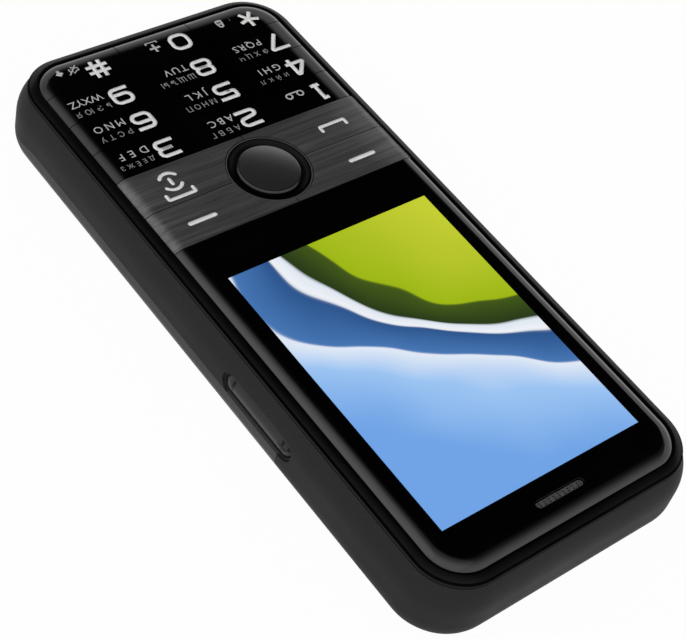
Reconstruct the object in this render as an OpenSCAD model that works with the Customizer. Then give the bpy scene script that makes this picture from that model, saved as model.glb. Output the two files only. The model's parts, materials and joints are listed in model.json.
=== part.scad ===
// Candybar phone lying on its back: +Z out of the screen, +Y to the earpiece, +X to the volume key.
// The origin is below the middle of the body, on the surface that the phone lies on.

/* [Body] */
// Width of the front rim across the long sides
body_w = 56.4; // [55:0.2:62]
// Length of the front rim from the keypad end to the earpiece end
body_l = 127.6; // [126:0.2:140]
// Thickness from the back to the front face
body_t = 17; // [16.4:0.1:20]
// Corner radius of the rim seen from the front
corner_r = 8.8; // [7.6:0.1:10]
// Bulge of the sides beyond the rim
side_bulge = 1.6; // [1.2:0.1:2]
// Radius that rolls the sides in towards the rim
side_r = 9; // [7:0.1:10]
// Radius that rolls the sides into the back
back_r = 6; // [5.4:0.1:6.6]
// Wall of the rear housing
wall = 1.3; // [1.1:0.05:1.6]

/* [Front rim] */
// Width of the gloss rim seen from the front
rim_w = 1.9; // [1.5:0.1:2.3]
// Drop from the front face to the top of the rim
rim_drop = 0.7; // [0.4:0.05:0.8]
// Drop from the front face to the foot of the rim
rim_h = 1.95; // [1.7:0.05:2.4]
// Flat lip along the inner edge of the rim
rim_lip = 0.35; // [0.2:0.05:0.6]
// Drop of the sloping face of the rim
rim_slope = 0.55; // [0.3:0.05:0.7]
// Height of the shadow groove below the rim
groove_h = 0.35; // [0.2:0.05:0.6]
// Width of the ledge that carries the window and the keys
ledge_w = 2.2; // [1.8:0.1:2.6]
// Thickness of that ledge
ledge_t = 1; // [0.8:0.1:1.4]
// Thickness of the skirt that reaches into the rear housing
skirt_t = 1.2; // [0.9:0.1:1.4]
// Length of that skirt
skirt_l = 2.4; // [2:0.1:3]

/* [Front crown] */
// Width of the rolled edge of window, plate and keys
crown_band = 2.1; // [1.4:0.1:2.6]
// Drop of the rolled edge
crown_drop = 0.8; // [0.5:0.05:0.9]

/* [Screen] */
// Width of the lit area
screen_w = 43.2; // [40:0.1:44]
// Length of the lit area
screen_l = 57.6; // [54:0.1:58.4]
// Bare strip between the function plate and the lit area
screen_below = 9; // [8.6:0.1:9.6]
// Dead border of the display at its sides
lcd_side = 1.5; // [1:0.1:1.6]
// Dead border of the display towards the keys
lcd_below = 6.5; // [5:0.1:6.6]
// Dead border of the display towards the earpiece
lcd_above = 2.2; // [1.4:0.1:2.4]
// Thickness of the display
lcd_t = 2.4; // [1.8:0.1:2.6]
// Thickness of the adhesive frame below the window
tape_t = 0.2; // [0.1:0.05:0.3]
// Width of the adhesive frame
tape_w = 1.4; // [1:0.1:1.6]

/* [Earpiece] */
// Length of the earpiece slot
earpiece_w = 10.5; // [8:0.1:14]
// Height of the earpiece slot
earpiece_h = 1.5; // [1.2:0.1:1.8]
// Distance from the end of the window to the slot
earpiece_in = 4.3; // [3.9:0.1:4.5]
// Thickness of the earpiece mesh
mesh_t = 0.9; // [0.5:0.1:1.1]
// Height of the receiver
receiver_t = 2.4; // [2:0.1:3]

/* [Function keys] */
// Length of the brushed function plate along the body
plate_l = 18.1; // [17:0.1:19]
// Diameter of the navigation key
nav_d = 11.9; // [11:0.1:12.4]
// Diameter of the dished ring round it
nav_ring_d = 15.7; // [15:0.1:16.4]
// Depth of the dish beside the navigation key
nav_dish = 1; // [0.6:0.1:1.2]
// Tilt of the navigation key to each side in degrees
nav_tilt = 2.5; // [1:0.5:3]

/* [Number keys] */
// Distance from one key row to the next
row_pitch = 7.64; // [7.2:0.02:8]
// Width of the middle key column
middle_w = 15.84; // [14.4:0.1:17]
// Thickness of the key caps
cap_t = 1.2; // [1:0.1:1.6]
// Travel of a key
key_travel = 0.35; // [0.2:0.05:0.45]
// Width of the stem below a cap
stem_w = 8.4; // [6:0.1:9]
// Depth of the stem along the body
stem_l = 4.4; // [3.4:0.1:4.8]
// Radius of the plunger below a stem
plunger_r = 1.5; // [1:0.1:1.7]

/* [Key support] */
// Width of the bars between the stems
web_w = 1.3; // [1:0.1:1.6]
// Height of the bars
web_h = 2.5; // [2.3:0.1:2.6]
// Thickness of the rubber mat
mat_t = 0.6; // [0.4:0.1:0.8]
// Width of the foot round the mat
mat_foot = 1; // [0.8:0.1:1.2]
// Radius of a snap dome
dome_r = 1.8; // [1.6:0.1:2]
// Height of a snap dome
dome_h = 0.25; // [0.2:0.05:0.35]
// Thickness of the dome film
film_t = 0.1; // [0.1:0.05:0.2]

/* [Volume key] */
// Length of the volume key
volume_l = 17.8; // [16:0.1:19]
// Height of the volume key
volume_h = 3.4; // [2.8:0.1:3.8]
// Bulge of the key from its edge to its middle
volume_crown = 0.6; // [0.3:0.05:0.8]
// Distance from the earpiece end to the middle of the key
volume_in = 46.2; // [44:0.1:48]
// Distance from the front face down to the middle of the key
volume_down = 7.8; // [7.5:0.1:8.1]
// Rocking angle to each side in degrees
volume_tilt = 1.5; // [0.5:0.1:2]

/* [Battery and cover] */
// Width of the battery
battery_w = 44; // [40:0.2:44.4]
// Length of the battery
battery_l = 56; // [52:0.2:56.4]
// Thickness of the battery
battery_t = 6; // [5.6:0.1:6.2]
// Edge radius of the battery
battery_r = 1; // [0.5:0.1:2]
// Length of the battery cover from the keypad end of the rim
cover_l = 88; // [87:0.5:90]
// Height to which the cover wraps round the sides
cover_lip = 4.9; // [4.2:0.1:5.2]
// Thickness of the battery cover
cover_t = 1.1; // [0.9:0.1:1.3]
// Length of the connector chamber at the keypad end
chin_l = 25.4; // [24.5:0.1:26]

/* [Board] */
// Thickness of the circuit board
board_t = 1; // [0.8:0.1:1.2]
// Height of the pads that carry the board
board_lift = 1; // [0.8:0.1:1.2]
// Thickness of the floor above the battery
floor_t = 0.9; // [0.8:0.1:1.2]

/* [Sockets and camera] */
// Bore diameter of the headphone socket
jack_d = 3.6; // [3.5:0.05:3.8]
// Depth of the headphone bore
jack_depth = 12; // [10:0.5:12.5]
// Width of the charging socket
usb_w = 7.5; // [7:0.1:8]
// Height of the charging socket
usb_h = 2.6; // [2.2:0.1:2.8]
// Diameter of the camera window
camera_d = 9.2; // [8:0.1:11]
// Diameter of the lamp lens
flash_d = 3.8; // [3:0.1:4.6]

/* [Screws] */
// Radius of the screw shank
screw_r = 0.6; // [0.5:0.05:0.65]
// Radius of the screw head
head_r = 1.3; // [1.1:0.1:1.4]
// Height of the screw head
head_h = 0.8; // [0.6:0.1:1]
// Distance from the side of the body to the screws
screw_in = 3.6; // [3.5:0.05:3.7]

/* [Clearances] */
// Gap between window or keys and the rim
fit_gap = 0.12; // [0.1:0.01:0.2]
// Gap between neighbouring keys
key_gap = 0.16; // [0.1:0.02:0.3]
// Gap that is left when a key is pressed right down
stop_gap = 0.15; // [0.1:0.05:0.2]
// Gap round what slides in an opening
slide_gap = 0.25; // [0.2:0.05:0.35]
// Gap between stacked pieces that lie loose
rest_gap = 0.2; // [0.1:0.05:0.25]
// Gap along the edge of the battery cover
parting_gap = 0.15; // [0.1:0.05:0.25]

/* [Hidden] */
$fn = 64;
// Overshoot of a cutting shape past the face that it cuts
over = 1;
// Overlap that joins two shapes of one piece
join = 0.1;

// Levels, counted up from the surface that the phone lies on
front_z = body_t;
battery_z = cover_t + rest_gap;
floor_z = battery_z + battery_t + rest_gap;
floor_top = floor_z + floor_t;
board_z = floor_top + board_lift;
board_top = board_z + board_t;
dome_top = board_top + film_t + dome_h;
cap_z = front_z - cap_t;
ledge_z = cap_z - key_travel - stop_gap;
window_z = ledge_z + tape_t;
web_z = ledge_z - web_h;
mat_z = web_z - mat_t;
stem_z = web_z + key_travel + stop_gap;
plunger_z = dome_top + key_travel + stop_gap;
rim_foot = front_z - rim_h;
housing_top = rim_foot - groove_h;
lcd_top = window_z - rest_gap;
lcd_z = lcd_top - lcd_t;
boss_z = ledge_z - ledge_t;

// Places along the body, from the keypad end to the earpiece end
insert_w = body_w - 2 * (rim_w + fit_gap);
insert_l = body_l - 2 * (rim_w + fit_gap);
insert_r = corner_r - rim_w - fit_gap;
keys_bottom = -insert_l / 2;
key_rows = 4;
plate_bottom = keys_bottom + key_rows * row_pitch;
plate_top = plate_bottom + plate_l;
plate_mid = (plate_bottom + plate_top) / 2;
screen_bottom = plate_top + screen_below;
lcd_w = screen_w + 2 * lcd_side;
lcd_l = screen_l + lcd_below + lcd_above;
lcd_mid = screen_bottom - lcd_below + lcd_l / 2;
earpiece_y = insert_l / 2 - earpiece_in;
side_col = (middle_w + insert_w) / 4;
function_x = side_col;
cover_top = -body_l / 2 + cover_l;
sill_z = 2.75;
chin_top = -body_l / 2 + chin_l;
contact_l = 2.8;
contact_w = 12;
contact_h = 4;
contact_x = 4;
blade_w = 1.4;
blade_t = 0.2;
blade_h = 2;
battery_top = cover_top - contact_l - 2 * rest_gap;
battery_mid = battery_top - battery_l / 2;

// Volume key and its switches
volume_y = body_l / 2 - volume_in;
volume_z = front_z - volume_down;
flange_t = 0.5;
flange_out = 0.7;
volume_gap = 0.1;
volume_face = body_w / 2 + side_bulge;
flange_x = body_w / 2 - wall - volume_gap - (volume_l / 2 + flange_out) * sin(volume_tilt) - flange_t;
volume_post = 6.2;
volume_post_r = 0.7;
post_l = 0.8;
switch_t = 0.5;
switch_l = 3;
side_board_t = 0.4;
side_board_end = 2;
switch_x = flange_x - post_l - volume_post * sin(volume_tilt) - volume_gap - switch_t;
side_board_x = switch_x - side_board_t;
side_board_l = 2 * (volume_post + side_board_end);
side_board_top = board_top - volume_gap;
notch_end = 1.5;
notch_gap = 0.3;
notch_l = side_board_l + 2 * notch_end;
slot_rim_w = 0.45;
slot_rim_t = 0.45;

// Rear housing
cavity_w = body_w - 2 * wall;
cavity_l = body_l - 2 * wall;
cavity_r = corner_r - wall;
// Level at which the sides begin to roll in towards the rim
side_z = housing_top - sqrt(2 * side_r * side_bulge - side_bulge * side_bulge);
// Radius of the roll inside the wall, before the wall's inset
core_r = 4.6;
chin_t = 1;
chin_skin = sill_z + chin_t;
screw_gap = 0.1;
screw_end = 5.8;
screw_off = 3;
screw_x = body_w / 2 - screw_in;
screw_y = [-body_l / 2 + screw_end, plate_mid, volume_y - side_board_l / 2 - screw_off];
boss_r = head_r + screw_gap;
boss_root = 0.2;
pilot_r = screw_r + screw_gap;
tip_gap = 0.6;
post_wall = 0.9;
post_r = head_r + post_wall;
rib_t = 1;
rib_h = 3;
end_post_r = 1.8;
end_post_x = body_w / 2 - 7.4;
end_post_y = body_l / 2 - 8;

// Catches of the front bezel and tabs of the battery cover
skirt_gap = 0.1;
rim_bevel = 0.3;
nib_out = 0.4;
nib_h = 0.6;
nib_l = 6;
nib_up = 0.4;
nib_x = 12;
nib_in = 14;
tab_step = 1.2;
tab_x = body_w / 2 - corner_r + core_r + tab_step;
tab_t = 1;
tab_l = 6;
tab_up = 1.45;
tab_y = [chin_top + 8, battery_mid, cover_top - 12];

// Display, its lead and what lies below it
tape_in = 0.4;
glass_t = 0.6;
glass_seal = 2;
holder_wall = 1.2;
flex_w = 20;
flex_l = 5;
flex_t = 0.3;
flex_in = 3;
flex_bend = 0.4;
flex_gap = 0.5;
flex_top = lcd_z - 0.6;
flex_y = lcd_mid - lcd_l / 2 + flex_in;
board_gap = 0.4;
can_side = 5;
can_l = 36;
can_up = 4;
can_t = 0.3;
can_gap = 0.6;
chip_x = 8;
chip_h = 1;
boot_t = 0.6;
boot_r = 1.2;
boot_side = 0.5;
boot_lip = 0.35;
boot_mouth_r = 0.3;
receiver_side = 1;
receiver_lip = 0.9;
receiver_r = 1.4;
mesh_hole_r = 0.18;

// Keys and what lies below them
web_end = insert_w / 2 - ledge_w / 2;
crossbar_w = web_w / 2 + screen_below - lcd_below - stop_gap;
nav_gap = 0.2;
nav_lip = 0.25;
nav_sink = 0.1;
nav_r = nav_d / 2;
nav_ring_r = nav_ring_d / 2;
nav_seat_r = 5;
nav_seat_gap = 0.4;
nav_boss_r = nav_seat_r - nav_seat_gap;
rocker_r = nav_boss_r - nav_gap;
nav_edge_drop = nav_r * sin(nav_tilt);
nav_disc_z = ledge_z + key_travel + nav_edge_drop + stop_gap;
nav_boss_l = 0.3;
nav_boss_z = ledge_z - nav_boss_l;
rocker_gap = 0.35;
rocker_t = 0.7;
rocker_top = nav_boss_z - rocker_gap;
rocker_z = rocker_top - rocker_t;
nub_r = 0.8;
nub_x = 3.2;
nub_gap = 0.1;
nub_z = plunger_z + nub_x * sin(nav_tilt) + nub_gap;
nub_dome_r = 1;
nub_dome_slope = 0.3;
nav_post_r = 1.2;
nav_post_flange = 0.8;
nav_post_gap = 0.15;
plunger_root = 0.2;
dome_slope = 0.6;
film_gap = 0.3;
hole_gap = 0.3;
mat_gap = 0.4;
mat_w = 2 * (screw_x - boss_r - mat_gap);
mat_bottom = keys_bottom + row_pitch / 2 - dome_r - stop_gap - mat_foot;
mat_top_y = plate_top - web_w;
mat_mid = (mat_bottom + mat_top_y) / 2;
mat_l = mat_top_y - mat_bottom;
mat_r = 3;

// Small pieces on the back of the board
jack_x = -body_w / 2 + 11.2;
jack_w = 6.2;
jack_h = 5.2;
jack_z = board_z - jack_h / 2;
jack_end = 0.5;
nose_wall = 0.8;
nose_r = jack_d / 2 + nose_wall;
port_in = 0.3;
port_y = -body_l / 2 - side_bulge + port_in;
port_back = -body_l / 2 + wall + rest_gap;
usb_l = 7.2;
usb_skin = 0.35;
usb_end = 0.6;
mic_x = 9;
mic_r = 0.5;
mic_drop = 1;
mic_w = 3.8;
mic_l = 2.8;
mic_h = 1.1;
mic_in = 2;
sim_w = 17;
sim_l = 19;
sim_x = 11;
sim_y = battery_top - sim_l / 2 - 6;
memory_w = 15;
memory_l = 14;
memory_y = sim_y - sim_l / 2 - 10;
card_h = board_z - floor_z;
card_skin = 1;
card_floor = 0.4;
card_roof = 0.5;
motor_r = 2;
motor_l = 8;
motor_x = body_w / 2 - 18.7;
motor_y = chin_top - 6;
motor_lift = 0.6;
motor_z = chin_skin + motor_r + motor_lift;
motor_fit = 0.05;
cradle_in = 1;
weight_l = 3.4;
weight_gap = 0.3;
weight_drop = 0.2;
shaft_r = 0.4;
camera_y = body_l / 2 - 15;
camera_h = 3;
camera_w = 8.6;
camera_skin = 0.3;
camera_lip = 0.9;
lens_lip = 1.4;
glass_sink = 0.1;
flash_x = camera_d / 2 + flash_d / 2 + 4.6;
flash_flange = 0.7;
flash_flange_t = 0.8;
speaker_y = cover_top + wall + 9;
speaker_w = 16;
speaker_l = 10.6;
speaker_t = 3.4;
speaker_r = 2;
gauze_t = 0.2;
gauze_side = 1.5;
gauze_end = 0.3;
antenna_w = 30;
antenna_l = 3.6;
antenna_in = 1.8;
antenna_gap = 1.5;
slot_l = 8;
slot_w = 1;
slot_count = 5;
slot_pitch = 2.2;

// Flat outline with round corners
module round_rect(w, l, r) {
    square([w - 2 * r, l], center = true);
    square([w, l - 2 * r], center = true);
    for (x = [-1, 1], y = [-1, 1])
        translate([x * (w / 2 - r), y * (l / 2 - r)])
            circle(r);
}

// Upright block with round corners, its foot at z
module round_block(w, l, r, z, top) {
    translate([0, 0, z])
        linear_extrude(top - z)
            round_rect(w, l, r);
}

// Plain block, centred on x and y, its foot at z
module block(x, y, w, l, z, top) {
    translate([x - w / 2, y - l / 2, z])
        cube([w, l, top - z]);
}

// Upright rod
module rod(x, y, r, z, top) {
    translate([x, y, z])
        cylinder(r = r, h = top - z);
}

// Carries a profile once round a rectangle with round corners.
// In the profile, x counts outwards from the centre of the corner and y is the height.
module edge_sweep(w, l, r) {
    for (q = [0 : 3]) {
        side = q % 2 == 0 ? [w, l] : [l, w];
        rotate([0, 0, 90 * q])
            translate([side[0] / 2 - r, side[1] / 2 - r, 0])
                rotate_extrude(angle = 90)
                    children();
        rotate([0, 0, 90 * q])
            translate([side[0] / 2 - r, 0, 0])
                rotate([90, 0, 0])
                    linear_extrude(side[1] - 2 * r, center = true)
                        children();
    }
}

// Solid with that profile all round, filled from z to top
module swept_slab(w, l, r, z, top) {
    edge_sweep(w, l, r)
        children();
    block(0, 0, w - 2 * r, l - 2 * r, z, top);
}

// Half section of the core below the rim, with upright sides, drawn in by inset
module core_section(inset, top) {
    difference() {
        translate([0, inset])
            square([corner_r - inset, top - inset]);
        difference() {
            translate([corner_r - core_r, inset - over])
                square([core_r + over, core_r - inset + over]);
            translate([corner_r - core_r, core_r])
                circle(core_r - inset);
        }
    }
}

// Half section of the body with its bulged sides, drawn in from its outside by inset
module skin_section(inset, top) {
    edge = corner_r + side_bulge;
    difference() {
        translate([0, inset])
            square([edge - inset, top - inset]);
        difference() {
            translate([edge - back_r, inset - over])
                square([back_r + over, back_r - inset + over]);
            translate([edge - back_r, back_r])
                circle(back_r - inset);
        }
        difference() {
            translate([edge - side_r, side_z])
                square([side_r + over, front_z]);
            translate([edge - side_r, side_z])
                circle(side_r - inset);
        }
    }
}

// Cross-wall that fills the body from side to side, with its foot at y
module cross_wall(y, t, inset, top) {
    translate([0, y + t, 0])
        rotate([90, 0, 0])
            linear_extrude(t) {
                square_w = body_w - 2 * corner_r;
                translate([-square_w / 2, inset])
                    square([square_w, top - inset]);
                for (s = [0, 1])
                    mirror([s, 0])
                        translate([square_w / 2, 0])
                            core_section(inset, top);
            }
}

// Rolled half section of the front face
module crown_section(z) {
    roll_r = (crown_band * crown_band + crown_drop * crown_drop) / (2 * crown_drop);
    translate([0, z])
        square([insert_r - crown_band, front_z - z]);
    intersection() {
        translate([0, z])
            square([insert_r, front_z - z]);
        translate([insert_r - crown_band, front_z - roll_r])
            circle(roll_r);
    }
}

// The one rolled face that window, plate and keys are cut from
module front_form(z) {
    swept_slab(insert_w, insert_l, insert_r, z, front_z)
        crown_section(z);
}

// Piece of the front face between the given seams
module front_piece(z, x0, x1, y0, y1) {
    intersection() {
        front_form(z);
        translate([x0 + key_gap / 2, y0 + key_gap / 2, z - over])
            cube([x1 - x0 - key_gap, y1 - y0 - key_gap, body_t]);
    }
}

// Stem from low to high along the body, and the plunger that carries it
module key_stem(x, y, low, high) {
    block(x, (low + high) / 2, stem_w, high - low, stem_z, cap_z);
    rod(x, y, plunger_r, plunger_z, stem_z + plunger_root);
}

// One number key: column 0 to 2 from the left, row 0 nearest the end
module number_key(column, row) {
    seams = [-insert_w / 2 - over, -middle_w / 2, middle_w / 2, insert_w / 2 + over];
    low = row == 0 ? over : 0;
    y = keys_bottom + row * row_pitch;
    mid = y + row_pitch / 2;
    stem_low = max(mid - stem_l / 2, keys_bottom - fit_gap + ledge_w + 2 * slide_gap);
    color("#1c1c1e") {
        front_piece(cap_z, seams[column], seams[column + 1], y - low, y + row_pitch);
        key_stem((column - 1) * side_col, mid, stem_low, mid + stem_l / 2);
    }
}

// One quarter of the brushed plate, cut round the navigation ring
module function_key(side, y0, y1) {
    x0 = side < 0 ? -insert_w / 2 - over : 0;
    x1 = side < 0 ? 0 : insert_w / 2 + over;
    mid = (y0 + y1) / 2;
    color("#45454a") {
        difference() {
            front_piece(cap_z, x0, x1, y0, y1);
            rod(0, plate_mid, nav_ring_r + key_gap, cap_z - over, front_z + over);
        }
        key_stem(side * function_x, mid, mid - stem_l / 2, mid + stem_l / 2);
    }
}

// Screws at both sides, at each of the three rows
module at_screws() {
    for (x = [-1, 1], y = screw_y)
        translate([x * screw_x, y, 0])
            children();
}

// Snap nibs of the skirt, or with grow the pockets that take them
module snap_nibs(grow) {
    z = rim_foot - skirt_l + nib_up;
    for (s = [-1, 1])
        translate([s * nib_x, cavity_l / 2, z + nib_h / 2])
            cube([nib_l + 2 * grow, 2 * (nib_out + grow), nib_h + 2 * grow], center = true);
    for (s = [-1, 1], y = [earpiece_y - nib_in, plate_bottom - nib_x])
        translate([s * cavity_w / 2, y, z + nib_h / 2])
            cube([2 * (nib_out + grow), nib_l + 2 * grow, nib_h + 2 * grow], center = true);
}

module camera_cut() {
    rod(0, camera_y, camera_d / 2 + fit_gap, -over, wall - camera_skin);
    rod(0, camera_y, camera_d / 2 - camera_lip, -over, wall + over);
    rod(flash_x, camera_y, flash_d / 2 + fit_gap, -over, wall + over);
}

module speaker_slots() {
    for (i = [0 : slot_count - 1])
        block(0, speaker_y + (i - (slot_count - 1) / 2) * slot_pitch, slot_l, slot_w, -over, wall + over);
}

module port_cuts() {
    start = -body_l / 2 - side_bulge - over;
    depth = wall + side_bulge + 2 * over;
    translate([jack_x, start, jack_z])
        rotate([-90, 0, 0])
            cylinder(r = nose_r + slide_gap, h = depth);
    translate([-usb_w / 2 - slide_gap, start, board_z - usb_h - slide_gap])
        cube([usb_w + 2 * slide_gap, depth, usb_h + 2 * slide_gap]);
    translate([mic_x, start, board_z - mic_drop])
        rotate([-90, 0, 0])
            cylinder(r = mic_r, h = depth);
}

// Flat outline of the volume key, grown on all sides
module volume_outline(grow) {
    h = volume_h + 2 * grow;
    round_rect(volume_l + 2 * grow, h, h / 2 - 0.01);
}

// Slot of the volume key, with a step round its mouth
module volume_cut() {
    translate([body_w / 2 - wall - over, volume_y, volume_z])
        rotate([90, 0, 90]) {
            linear_extrude(wall + side_bulge + 2 * over)
                volume_outline(slide_gap);
            translate([0, 0, wall + over + side_bulge - slot_rim_t])
                linear_extrude(slot_rim_t + over)
                    volume_outline(slide_gap + slot_rim_w);
        }
}

// Openings of the floor for what hangs below the board
module floor_cuts() {
    for (s = [-1, 1])
        block(s * sim_x, sim_y, sim_w + 2 * slide_gap, sim_l + 2 * slide_gap, floor_z - over,
            floor_top + over);
    block(0, memory_y, memory_w + 2 * slide_gap, memory_l + 2 * slide_gap, floor_z - over, floor_top + over);
    block(0, cover_top - contact_l / 2 - rest_gap, contact_w + 2 * slide_gap, contact_l + rest_gap,
        floor_z - over, floor_top + over);
}

// Walls, floors and posts of the rear housing, before its openings are cut
module housing_walls() {
    swept_slab(body_w, body_l, corner_r, 0, wall)
        difference() {
            skin_section(0, housing_top);
            core_section(wall, housing_top + over);
        }
    cross_wall(cover_top, wall, wall / 2, floor_top);
    block(0, (chin_top + cover_top) / 2, body_w - wall, cover_l - chin_l + wall, floor_z, floor_top);
    block(0, chin_top - wall / 2, body_w - wall, wall, chin_skin - chin_t, floor_top);
    intersection() {
        round_block(cavity_w + 2 * join, cavity_l + 2 * join, cavity_r + join, chin_skin - chin_t, chin_skin);
        block(0, chin_top - body_l / 2, body_w, body_l, 0, chin_skin + over);
    }
    for (s = [-1, 1])
        block(s * (battery_w / 2 + slide_gap + rib_t / 2), battery_mid, rib_t, battery_l,
            floor_z - rib_h, floor_z);
    at_screws()
        rod(0, 0, boss_r, floor_top - join, board_z);
    for (s = [-1, 1])
        rod(s * screw_x, screw_y[0], post_r, chin_skin - chin_t / 2, board_z);
    for (s = [-1, 1])
        rod(s * end_post_x, end_post_y, end_post_r, wall - join, board_z);
    block(side_board_x - rib_t / 2, volume_y, rib_t, side_board_l, floor_top - join, side_board_top);
    for (x = [motor_x + cradle_in, motor_x + motor_l - cradle_in])
        block(x, motor_y, rib_t, 2 * (motor_r + rib_t), chin_skin - join, motor_z);
}

// Room for the battery cover: all below the sill, and a rebate outside the walls above it
module cover_room() {
    w = body_w + 2 * (side_bulge + over);
    block(0, cover_top - body_l / 2, w, body_l, -over, sill_z);
    difference() {
        block(0, cover_top - body_l / 2, w, body_l, sill_z - join, cover_lip + parting_gap);
        swept_slab(body_w, body_l, corner_r, cover_t + rest_gap, cover_lip + over)
            skin_section(cover_t + rest_gap, cover_lip + over);
    }
}

module rear_housing() {
    color("#323031")
        difference() {
            housing_walls();
            cover_room();
            for (s = [-1, 1])
                rod(s * screw_x, screw_y[0], head_r + slide_gap, -over, floor_z);
            at_screws()
                rod(0, 0, pilot_r + screw_gap, floor_z - over, board_z + over);
            translate([motor_x - over, motor_y, motor_z])
                rotate([0, 90, 0])
                    cylinder(r = motor_r + motor_fit, h = motor_l + 2 * over);
            snap_nibs(parting_gap);
            camera_cut();
            speaker_slots();
            port_cuts();
            volume_cut();
            floor_cuts();
        }
}

// Half section of the rim with its ledge and skirt
module rim_section() {
    inner = corner_r - rim_w;
    skirt = cavity_r - skirt_gap;
    top = front_z - rim_drop;
    polygon([
        [inner - ledge_w, boss_z],
        [inner - ledge_w, ledge_z],
        [inner, ledge_z],
        [inner, top],
        [inner + rim_lip, top],
        [corner_r - rim_bevel, top - rim_slope],
        [corner_r, top - rim_slope - rim_bevel],
        [corner_r, rim_foot],
        [skirt, rim_foot],
        [skirt, rim_foot - skirt_l],
        [skirt - skirt_t, rim_foot - skirt_l],
        [skirt - skirt_t, boss_z],
    ]);
}

// Bars between the stems, and the seat of the navigation key
module key_web() {
    seams = [for (row = [1 : key_rows - 1]) keys_bottom + row * row_pitch];
    for (y = seams)
        block(0, y, 2 * web_end, web_w, web_z, ledge_z);
    block(0, plate_bottom, 2 * web_end, web_w, web_z, ledge_z);
    block(0, plate_top + crossbar_w / 2 - web_w / 2, 2 * web_end, crossbar_w, web_z, ledge_z);
    for (s = [-1, 1])
        block(s * middle_w / 2, (keys_bottom + plate_bottom) / 2, web_w,
            plate_bottom - keys_bottom - ledge_w, web_z, ledge_z);
    difference() {
        union() {
            block(0, plate_mid, 2 * web_end, web_w, web_z, ledge_z);
            block(0, plate_mid, web_w, plate_l, web_z, ledge_z);
            rod(0, plate_mid, nav_ring_r, web_z, ledge_z);
        }
        rod(0, plate_mid, nav_seat_r, web_z - over, ledge_z + over);
    }
}

module front_bezel() {
    color("#101012")
        difference() {
            union() {
                edge_sweep(body_w, body_l, corner_r)
                    rim_section();
                key_web();
                at_screws()
                    rod(0, 0, boss_r, board_top, boss_z + boss_root);
                snap_nibs(0);
            }
            at_screws()
                rod(0, 0, pilot_r, board_top - over, boss_z - boss_root);
        }
}

module battery_cover() {
    color("#3c3a3b") {
        difference() {
            swept_slab(body_w, body_l, corner_r, 0, cover_t)
                difference() {
                    skin_section(0, cover_lip);
                    skin_section(cover_t, cover_lip + over);
                }
            block(0, cover_top - parting_gap + body_l / 2, body_w + 2 * (side_bulge + over), body_l, -over,
                cover_lip + over);
            port_cuts();
        }
        for (s = [-1, 1], y = tab_y)
            block(s * tab_x, y, tab_t, tab_l, cover_t - join, sill_z + tab_up);
    }
}

module display_window() {
    color("#0c0c0e")
        difference() {
            front_piece(window_z, -body_w, body_w, plate_top, body_l);
            translate([0, earpiece_y, window_z - over])
                linear_extrude(body_t)
                    round_rect(earpiece_w, earpiece_h, earpiece_h / 2 - 0.01);
        }
}

module window_tape() {
    inner = ledge_w - tape_w - tape_in;
    low = plate_top + tape_in;
    high = insert_l / 2 - tape_in;
    w = insert_w - 2 * tape_in;
    color("#2a2a2c")
        translate([0, (low + high) / 2, ledge_z])
            linear_extrude(tape_t)
                difference() {
                    intersection() {
                        round_rect(w, high - low, insert_r - tape_in);
                        square([w, high - low], center = true);
                    }
                    round_rect(w - 2 * tape_w, high - low - 2 * tape_w, insert_r - tape_w - inner);
                }
}

module earpiece_mesh() {
    w = earpiece_w - 2 * fit_gap;
    h = earpiece_h - 2 * fit_gap;
    color("#555557")
        translate([0, earpiece_y, window_z])
            linear_extrude(mesh_t)
                difference() {
                    round_rect(w, h, h / 2 - 0.01);
                    for (x = [-4 : 4], y = [-1, 1])
                        translate([x * w / 10, y * h / 5])
                            circle(mesh_hole_r);
                }
}

module earpiece_boot() {
    color("#1a1a1a")
        translate([0, earpiece_y, board_top + receiver_t])
            linear_extrude(window_z - board_top - receiver_t)
                difference() {
                    round_rect(earpiece_w + 2 * boot_t, earpiece_h + 2 * boot_t, boot_r);
                    round_rect(earpiece_w - 2 * boot_side, earpiece_h - 2 * boot_lip, boot_mouth_r);
                }
}

module earpiece_receiver() {
    color("#8a8a8e")
        translate([0, earpiece_y, board_top])
            linear_extrude(receiver_t)
                round_rect(earpiece_w + 2 * receiver_side, earpiece_h + 2 * receiver_lip, receiver_r);
}

module lcd_panel() {
    color("#c8d8e8")
        difference() {
            block(0, lcd_mid, lcd_w, lcd_l, lcd_z, lcd_top);
            block(0, screen_bottom - lcd_below, lcd_w + over, 2 * (lcd_below - glass_seal), lcd_top - glass_t,
                lcd_top + over);
        }
}

module lcd_holder() {
    color("#88888c")
        difference() {
            block(0, lcd_mid, lcd_w, lcd_l, board_top, lcd_z);
            block(0, lcd_mid, lcd_w - 2 * holder_wall, lcd_l - 2 * holder_wall, board_top - over,
                lcd_z + over);
            block(0, lcd_mid - lcd_l / 2, flex_w + 2 * flex_gap, 4 * holder_wall, board_top - over, flex_top);
        }
}

module lcd_flex() {
    color("#b07a2c")
        difference() {
            block(0, flex_y, flex_w, flex_l, board_top, flex_top);
            block(0, flex_y + flex_bend, flex_w + over, flex_l, board_top + flex_t, flex_top - flex_t);
        }
}

module main_board() {
    w = cavity_w - 2 * board_gap;
    l = cavity_l - 2 * board_gap;
    color("#1f5a3a")
        difference() {
            round_block(w, l, cavity_r - board_gap, board_z, board_top);
            at_screws()
                rod(0, 0, pilot_r + 2 * screw_gap, board_z - over, board_top + over);
            block(body_w / 2, volume_y, 2 * (body_w / 2 - side_board_x + rib_t + notch_gap), notch_l,
                board_z - over, board_top + over);
        }
}

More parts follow.
